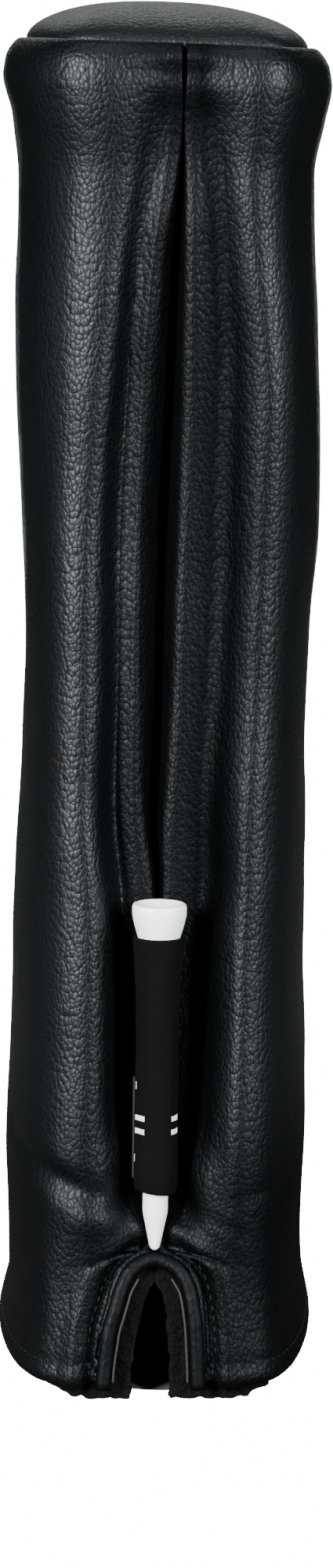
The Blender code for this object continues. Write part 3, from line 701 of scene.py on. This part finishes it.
def lining_plush(side, material):
    heights = [0.0, 0.5] + [1.2 * k for k in range(1, 31)] + [38 + 6.6 * k for k in range(41)]
    heights = [min(h, 303.4) for h in heights]
    rows = []
    for height in heights:
        rows.append(straight_through(lining_section(side, height), 6))
    bm = cloth_grid(rows, closed=True)
    bmesh.ops.holes_fill(bm, edges=[edge for edge in bm.edges if edge.is_boundary], sides=0)
    bmesh.ops.triangulate(bm, faces=[face for face in bm.faces if len(face.verts) > 4])
    bmesh.ops.recalc_face_normals(bm, faces=bm.faces)
    for vert in bm.verts:
        vert.co.z += hem_lift(vert.co)
    push_out(bm, pile_lumps)
    for vert in bm.verts:
        vert.co.z = max(vert.co.z, 0.0)
    piece = finish_piece(f"{SIDE_WORD[side]}_plush", bm, material)
    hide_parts(f"{SIDE_WORD[side]}_lining")


# ---- the tee and its sleeve ----

def tee_place():
    return Matrix.Translation(TEE_FOOT) @ TEE_AXIS.to_track_quat("Z", "Y").to_matrix().to_4x4()


def spun(profile):
    """A turned bmesh: an outline in (radius, height) spun round Z."""
    bm = bmesh.new()
    verts = [bm.verts.new((r, 0, z)) for r, z in profile]
    edges = [bm.edges.new(pair) for pair in zip(verts, verts[1:])]
    bmesh.ops.spin(bm, geom=verts + edges, cent=(0, 0, 0), axis=(0, 0, 1), angle=2 * math.pi,
                   steps=TEE_STEPS, use_merge=True)
    bmesh.ops.remove_doubles(bm, verts=bm.verts, dist=1e-4)
    bmesh.ops.recalc_face_normals(bm, faces=bm.faces)
    return bm


def tee_turned(material):
    top = TEE_LENGTH
    profile = [(0, top - 1.6), (1.6, top - 1.5), (3.2, top - 1.1), (4.6, top - 0.5), (5.3, top - 0.12),
               (5.7, top), (6.05, top - 0.14), (6.25, top - 0.5), (TEE_HEAD_RADIUS, top - 1.0),
               (TEE_HEAD_RADIUS, top - 2.4), (6.1, top - 3.6), (5.7, top - 5.2), (4.95, top - 7.8),
               (4.3, top - 10), (3.8, top - 12.2), (3.3, top - 15.4), (3.05, top - 18),
               (TEE_SHANK_RADIUS, top - 21), (TEE_SHANK_RADIUS, 9.6), (2.8, 8.6), (2.45, 7.0),
               (1.35, 1.5), (1.1, 0.7), (0.65, 0.2), (0, 0)]
    bm = spun(profile)
    bmesh.ops.transform(bm, matrix=tee_place(), verts=bm.verts)
    piece = finish_piece("tee_turned", bm, material, TEE)
    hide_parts("tee")


def tee_sleeve(material):
    top = TEE_LENGTH
    outer = [(5.5, SLEEVE_HIGH + 0.15), (5.8, SLEEVE_HIGH - 0.1), (5.9, SLEEVE_HIGH - 0.8),
             (5.75, SLEEVE_HIGH - 2.5), (5.5, SLEEVE_HIGH - 6), (5.2, SLEEVE_HIGH - 11),
             (5.0, SLEEVE_HIGH - 16), (4.9, 48), (4.88, 40), (4.95, 30), (5.05, 24), (5.1, 19), (5.0, 16.4),
             (4.7, SLEEVE_LOW + 0.3)]
    bore = TEE_SHANK_RADIUS + 0.35
    inner = [(4.4, SLEEVE_LOW), (bore + 0.15, SLEEVE_LOW + 0.2), (bore, SLEEVE_LOW + 1), (bore, top - 20.3),
             (3.6, top - 16), (4.3, top - 11.3), (5.3, SLEEVE_HIGH - 0.3)]
    bm = bmesh.new()
    stations = curve_through([Vector((r, 0, z)) for r, z in outer], 3)
    stations += [Vector((r, 0, z)) for r, z in inner]
    verts = [bm.verts.new(p) for p in stations]
    edges = [bm.edges.new(pair) for pair in zip(verts, verts[1:] + verts[:1])]
    bmesh.ops.spin(bm, geom=verts + edges, cent=(0, 0, 0), axis=(0, 0, 1), angle=2 * math.pi,
                   steps=SLEEVE_STEPS, use_merge=True)
    bmesh.ops.remove_doubles(bm, verts=bm.verts, dist=1e-4)
    bmesh.ops.recalc_face_normals(bm, faces=bm.faces)
    bmesh.ops.transform(bm, matrix=tee_place(), verts=bm.verts)
    turn_of = {}
    for vert in bm.verts:
        along = (vert.co - TEE_FOOT).dot(TEE_AXIS)
        across = vert.co - TEE_FOOT - TEE_AXIS * along
        angle = math.atan2(across.x, -across.y)
        turn_of[vert] = (angle / (2 * math.pi) + 0.5, along / TEE_LENGTH)
        if across.length > 4.5:
            slump = 0.12 * noise.noise(Vector((angle * 2.2, along / 9, 1)))
            slump += 0.06 * noise.noise(Vector((angle * 5, along / 3, 7)))
            seam = 0.45 * bell(angle, -1.25, 0.12)
            vert.co += across.normalized() * (slump + seam)
        if along < SLEEVE_LOW + 5:
            vert.co.z -= 0.11 * across.x
    uv = bm.loops.layers.uv.new("sleeve")
    for face in bm.faces:
        turns = [turn_of[vert][0] for vert in face.verts]
        wraps = max(turns) - min(turns) > 0.5
        for loop in face.loops:
            around, share = turn_of[loop.vert]
            loop[uv].uv = (around + 1 if wraps and around < 0.5 else around, share)
    piece = finish_piece("tee_sleeve_knit", bm, material)
    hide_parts("tee_sleeve")


# ---- materials ----

class Value:
    """A number in a shader: plain arithmetic on it adds Math nodes."""

    def __init__(self, maker, socket):
        self.maker = maker
        self.socket = socket

    def _math(self, operation, *values):
        made = self.maker.node("ShaderNodeMath", {"operation": operation}, *values)
        return Value(self.maker, made.outputs[0])

    def __add__(self, other):
        return self._math("ADD", self, other)

    def __radd__(self, other):
        return self._math("ADD", other, self)

    def __sub__(self, other):
        return self._math("SUBTRACT", self, other)

    def __rsub__(self, other):
        return self._math("SUBTRACT", other, self)

    def __mul__(self, other):
        return self._math("MULTIPLY", self, other)

    def __rmul__(self, other):
        return self._math("MULTIPLY", other, self)

    def __abs__(self):
        return self._math("ABSOLUTE", self)

    def below(self, other):
        return self._math("LESS_THAN", self, other)

    def above(self, other):
        return self._math("GREATER_THAN", self, other)

    def at_least(self, other):
        return self._math("MAXIMUM", self, other)

    def wave(self):
        return self._math("SINE", self)

    def smooth(self, low, high, to_low=0.0, to_high=1.0):
        made = self.maker.node("ShaderNodeMapRange", {"interpolation_type": "SMOOTHSTEP"},
                               self, low, high, to_low, to_high)
        return Value(self.maker, made.outputs[0])


class Maker:
    """Adds nodes to a node tree."""

    def __init__(self, tree):
        self.tree = tree

    def node(self, kind, settings=None, *values, **named):
        """Adds a node with its settings, and gives its inputs their values or links, in order or by name."""
        made = self.tree.nodes.new(kind)
        for key, value in (settings or {}).items():
            setattr(made, key, value)
        for key, value in list(enumerate(values)) + [(k.replace("_", " "), v) for k, v in named.items()]:
            self.join(made.inputs[key], value)
        return made

    def join(self, socket, value):
        if isinstance(value, Value):
            value = value.socket
        if isinstance(value, bpy.types.NodeSocket):
            self.tree.links.new(value, socket)
        else:
            socket.default_value = value


class Finish(Maker):
    """A material under construction."""

    def __init__(self, name, **constants):
        self.material = bpy.data.materials.new(name)
        self.material.use_nodes = True
        super().__init__(self.material.node_tree)
        self.shader = self.tree.nodes["Principled BSDF"]
        for socket, value in constants.items():
            self.join(self.shader.inputs[socket.replace("_", " ")], value)

    def place(self, scale=(1, 1, 1)):
        """Object coordinates, stretched by a scale."""
        source = self.node("ShaderNodeTexCoord").outputs["Object"]
        return self.node("ShaderNodeMapping", None, Vector=source, Scale=scale).outputs[0]

    def split(self, vector):
        parts = self.node("ShaderNodeSeparateXYZ", None, vector)
        return [Value(self, socket) for socket in parts.outputs]

    def cloud(self, place, scale, detail=2.0, roughness=0.5):
        made = self.node("ShaderNodeTexNoise", None, Vector=place, Scale=scale, Detail=detail,
                         Roughness=roughness)
        return Value(self, made.outputs[0])

    def cells(self, place, scale, feature="DISTANCE_TO_EDGE"):
        made = self.node("ShaderNodeTexVoronoi", {"feature": feature}, Vector=place, Scale=scale)
        return Value(self, made.outputs[0])

    def warped(self, place, scale, amount):
        """A place pushed about by a soft cloud, in metres."""
        def step(operation, *values, **named):
            return self.node("ShaderNodeVectorMath", {"operation": operation}, *values, **named).outputs[0]

        push = self.node("ShaderNodeTexNoise", None, Vector=place, Scale=scale, Detail=2.0)
        middle = step("SUBTRACT", push.outputs[1], (0.5, 0.5, 0.5))
        return step("ADD", place, step("SCALE", middle, Scale=amount))

    def mix(self, factor, low, high):
        """A colour between two colours."""
        made = self.node("ShaderNodeMix", {"data_type": "RGBA"})
        self.join(made.inputs["Factor"], factor)
        self.join(made.inputs[6], (*low, 1) if isinstance(low, tuple) else low)
        self.join(made.inputs[7], (*high, 1))
        return made.outputs[2]

    def bump(self, height, depth, strength):
        return self.node("ShaderNodeBump", None, Height=height, Distance=depth, Strength=strength).outputs[0]

    def mixed_with_black(self, share):
        """Mixes black without any shine into the surface."""
        matte_and_shade = self.node("ShaderNodeBsdfPrincipled", None, Base_Color=(0.0004, 0.0004, 0.0004, 1.0),
                          Roughness=0.9, Specular_IOR_Level=0.0)
        self.blended(share, matte_and_shade)

    def blended(self, share, other):
        """Shows another shader node instead of the main one, by a share."""
        mixed = self.node("ShaderNodeMixShader", None, share, self.shader.outputs[0], other.outputs[0])
        self.join(self.tree.nodes["Material Output"].inputs["Surface"], mixed.outputs[0])

    def done(self, colour, roughness, normal):
        for socket, value in (("Base Color", colour), ("Roughness", roughness), ("Normal", normal)):
            self.join(self.shader.inputs[socket], value)
        return self.material


PEBBLE = 0.0013          # m across one pebble of the leather grain
PEBBLE_DEPTH = 0.00011   # m
LEATHER_TONE = 0.0009
COOL_SHEEN = (0.9, 0.94, 1.0, 1.0)
CROWN_ROUGHNESS = 0.42
PAINTED_SHADE_SHARE = 0.75       # how much painted shade, a black without shine, is mixed in where the attribute is highest


def pebbled_leather(name, least_rough=0.34):
    """Black leather with an irregular grain of domed pebbles, darkened by painted shade where its points say
    so, and a little rougher there.
    """
    f = Finish(name, Specular_IOR_Level=0.23, Specular_Tint=COOL_SHEEN)
    place = f.warped(f.place((1.2, 1, 0.95)), 320.0, 0.0012)
    away = f.cells(place, 1 / PEBBLE, "F1")
    edge = f.cells(place, 1 / PEBBLE)
    crease = edge.smooth(0.0, 0.20, 1.0, 0.0)
    dome = 1 - away * away * 1.5
    fine = f.cells(f.warped(place, 900.0, 0.0005), 2.4 / PEBBLE, "F1")
    pores = f.cloud(place, 4200.0, 3.0)
    swell = f.cloud(place, 160.0, 2.0)
    dull_and_shade = Value(f, f.node("ShaderNodeAttribute", {"attribute_name": "dull_and_shade"}).outputs["Fac"])
    height = dome - 0.22 * crease - 0.22 * fine + 0.08 * pores
    colour = f.mix(crease, (LEATHER_TONE, LEATHER_TONE, LEATHER_TONE * 1.15), (LEATHER_TONE * 0.2,) * 3)
    roughness = least_rough + 0.12 * crease + 0.08 * fine + 0.08 * (swell - 0.5) + 0.06 * dull_and_shade
    # painted shade: a black without shine mixed in by the attribute, beside the slit, in the valleys and
    # notch groove, near rim and hem
    f.mixed_with_black(PAINTED_SHADE_SHARE * dull_and_shade)
    return f.done(colour, roughness, f.bump(height, PEBBLE_DEPTH, 0.8))


def smooth_leather(name):
    """Thin leather pulled over a roll, its grain almost flattened."""
    f = Finish(name, Specular_IOR_Level=0.2, Specular_Tint=COOL_SHEEN)
    place = f.warped(f.place((1, 1, 0.6)), 300.0, 0.0012)
    grain = f.cells(place, 0.8 / PEBBLE).smooth(0.0, 0.5)
    creases = f.cloud(f.place((1, 1, 0.4)), 420.0, 3.0, 0.6)
    roughness = 0.40 + 0.12 * (1 - grain) + 0.1 * creases
    f.mixed_with_black(0.25 + 0.5 * creases)
    return f.done(f.mix(grain, (0.0005, 0.0005, 0.0005), (0.001, 0.001, 0.0011)), roughness,
                  f.bump(grain * 0.4 + creases, 0.00030, 0.7))


def plush_pile(name):
    """Black curly pile."""
    f = Finish(name, Specular_IOR_Level=0.12)
    place = f.warped(f.place(), 700.0, 0.0012)
    curls = f.cells(place, 900.0, "F1").smooth(0.1, 0.7, 1.0, 0.0)
    strands = f.cloud(place, 5200.0, 3.0, 0.7)
    return f.done(f.mix(curls, (0.0003, 0.0003, 0.0003), (0.0016, 0.0016, 0.0017)), 0.8 + 0.12 * strands,
                  f.bump(curls + strands * 0.5, 0.0006, 0.8))


# plain printed bars: (place round the sleeve, place along the tee, half width, half height), as shares
SLEEVE_MARKS = [(0.5 + turn, level, 0.052, 0.0075) for turn in (-0.148, 0.175) for level in (0.354, 0.392)]
SLEEVE_MARKS += [(0.5 - 0.205, level, 0.018, 0.011) for level in (0.275, 0.484)]


def brushed_knit(name):
    """Matte knit of the tee sleeve, with small plain bars printed on it."""
    f = Finish(name, Specular_IOR_Level=0.08)
    spot = f.node("ShaderNodeUVMap", {"uv_map": "sleeve"}).outputs[0]
    around, along, _ = f.split(spot)
    loops = (around * (2 * math.pi * 46)).wave() * (along * (2 * math.pi * 90)).wave()
    fuzz = f.cloud(f.place(), 3200.0, 3.0, 0.7)
    colour = f.mix(fuzz, (0.0003, 0.0003, 0.0003), (0.0012, 0.0012, 0.0012))
    mark = None
    for middle_around, middle_along, half_around, half_along in SLEEVE_MARKS:
        bar = abs(around - middle_around).below(half_around) * abs(along - middle_along).below(half_along)
        mark = bar if mark is None else mark.at_least(bar)
    colour = f.mix(mark, colour, (0.62, 0.62, 0.63))
    return f.done(colour, 0.86 + 0.08 * fuzz, f.bump(loops * 0.5 + fuzz, 0.00012, 0.6))


def lacquer(name):
    """White lacquer over a turned wooden tee."""
    f = Finish(name, Coat_Weight=0.3, Coat_Roughness=0.12)
    ripple = f.cloud(f.place((1, 1, 0.3)), 420.0, 2.0)
    return f.done(f.mix(ripple, (0.84, 0.84, 0.86), (0.90, 0.90, 0.92)), 0.30 + 0.08 * ripple,
                  f.bump(ripple, 0.00004, 0.3))


def spun_thread(name, tone=0.006):
    """Black sewing thread, twisted."""
    f = Finish(name, Specular_IOR_Level=0.12)
    twist = f.cloud(f.place((1, 1, 3)), 3800.0, 2.0)
    return f.done(f.mix(twist, (tone * 0.4,) * 3, (tone, tone, tone)), 0.5 + 0.2 * twist,
                  f.bump(twist, 0.0001, 0.6))


def wadding(name):
    """Pale fibre foam."""
    f = Finish(name)
    fibres = f.cloud(f.place(), 1400.0, 4.0, 0.7)
    return f.done(f.mix(fibres, (0.385, 0.371, 0.336), (0.55, 0.53, 0.48)), 0.9 + 0.05 * fibres,
                  f.bump(fibres, 0.0004, 0.6))


def board(name):
    """Grey fibre board."""
    f = Finish(name)
    flecks = f.cloud(f.place(), 900.0, 4.0, 0.7)
    return f.done(f.mix(flecks, (0.07, 0.07, 0.07), (0.13, 0.125, 0.12)), 0.7 + 0.15 * flecks,
                  f.bump(flecks, 0.0002, 0.4))


def ribbed_elastic(name):
    """Black elastic web with upright ribs."""
    f = Finish(name)
    across, _, _ = f.split(f.place())
    ribs = (across * 6000.0).wave()
    return f.done(f.mix(ribs.smooth(-1.0, 1.0), (0.01, 0.01, 0.01), (0.035, 0.035, 0.035)),
                  0.75 + 0.05 * ribs, f.bump(ribs, 0.0002, 0.6))


# ---- studio ----

BACKDROP_GLOW = 16.0
DIM_GLOW = 0.02


def softbox(name, place, target, size, power):
    light = bpy.data.lights.new(name, "AREA")
    light.shape = "RECTANGLE"
    light.size, light.size_y = size
    light.energy = power
    lamp = bpy.data.objects.new(name, light)
    lamp.location = place
    lamp.rotation_euler = (Vector(target) - Vector(place)).to_track_quat("-Z", "Y").to_euler()
    bpy.context.scene.collection.objects.link(lamp)


def floor_paint():
    """Paint that glows like the backdrop, except in an oval under the cover, where the glow is left out as
    painted shadow and only the floor's dark paint takes the light.
    """
    f = Finish("pale_floor", Base_Color=(0.04, 0.04, 0.04, 1), Roughness=0.9)
    glow = f.node("ShaderNodeEmission", None, Strength=BACKDROP_GLOW)
    # the oval under the cover is painted shadow: no glow there, so the floor shows dark
    reach = f.node("ShaderNodeVectorMath", {"operation": "LENGTH"}, f.place((1 / 0.033, 1 / 0.052, 1)))
    sight = f.node("ShaderNodeLightPath").outputs["Is Camera Ray"]
    f.blended(Value(f, reach.outputs["Value"]).above(1.0) * Value(f, sight), glow)
    return f.material


def studio():
    """Pale floor and backdrop, two soft boxes in front to either side, and dim ones above and behind."""
    scene = bpy.context.scene
    data = bpy.data.cameras.new("camera")
    data.sensor_fit = "VERTICAL"
    data.sensor_height = 36
    data.lens = 96
    data.clip_start = 0.05
    data.clip_end = 100
    camera = bpy.data.objects.new("camera", data)
    camera.location = (0.0011, -1.0, 0.3122)
    camera.rotation_euler = (math.radians(90 - 9.977), 0, 0)
    scene.collection.objects.link(camera)
    scene.camera = camera

    world = bpy.data.worlds.new("studio")
    scene.world = world
    world.use_nodes = True
    sky = Maker(world.node_tree)
    sight = sky.node("ShaderNodeLightPath").outputs["Is Camera Ray"]
    level = sky.node("ShaderNodeMapRange", None, Value=sight, To_Min=DIM_GLOW, To_Max=BACKDROP_GLOW)
    background = sky.tree.nodes["Background"]
    sky.join(background.inputs["Color"], (1, 1, 1, 1))
    sky.join(background.inputs["Strength"], level.outputs[0])

    bm = bmesh.new()
    bmesh.ops.create_grid(bm, x_segments=1, y_segments=1, size=6)
    mesh = bpy.data.meshes.new("floor")
    bm.to_mesh(mesh)
    bm.free()
    mesh.materials.append(floor_paint())
    floor = bpy.data.objects.new("floor", mesh)
    scene.collection.objects.link(floor)

    aim = (0, 0, 0.17)
    softbox("left_box", (-0.90, -1.12, 0.62), aim, (0.28, 0.85), 84)
    softbox("right_box", (0.95, -1.10, 0.62), aim, (0.28, 0.85), 56)
    softbox("top_box", (0.0, -0.25, 1.25), (0, 0, 0.3), (0.6, 0.4), 4)
    softbox("rear_box", (0.0, 1.05, 0.95), (0, 0, 0.3), (1.0, 0.5), 4)
    softbox("rear_strip", (0.0, 1.35, 0.12), aim, (0.5, 0.6), 7)
    softbox("left_strip", (-1.5, 0.1, 0.32), aim, (0.3, 0.8), 2)
    softbox("right_strip", (1.5, 0.1, 0.32), aim, (0.3, 0.8), 2)


# ---- build ----

studio()
body_hide = {side: pebbled_leather(f"{SIDE_WORD[side]}_outer_leather") for side in (-1, 1)}
thread = spun_thread("topstitch_thread")
plush = plush_pile("plush_pile")
for side in (-1, 1):
    body_leather(side, body_hide[side])
    lining_plush(side, plush)
    notch_stitches(side, thread)
crown_leather(pebbled_leather("crown_outer_leather", CROWN_ROUGHNESS))
notch_binding(smooth_leather("binding_leather"))
binding_edge(spun_thread("binding_edge", 0.03))
stitch_row("hem_stitches", hem_route(), 2.4, 1.6, STITCH_RADIUS, thread, "hem_topstitch")
tee_turned(lacquer("tee_lacquer"))
tee_sleeve(brushed_knit("sleeve_knit"))

INNER_FINISHES = {
    "left_padding": wadding("left_foam"),
    "right_padding": wadding("right_foam"),
    "crown_foam": wadding("crown_foam_fibre"),
    "crown_stiffener": board("stiffener_board"),
    "crown_lining": plush,
    "neck_elastic": ribbed_elastic("elastic_web"),
    "front_seam_thread": thread,
    "back_seam_thread": thread,
    "crown_seam_thread": thread,
    "sleeve_thread": spun_thread("sleeve_seam_thread", 0.02),
}
for node, finish in INNER_FINISHES.items():
    for slot in frame["nodes"][node].material_slots:
        slot.material = finish
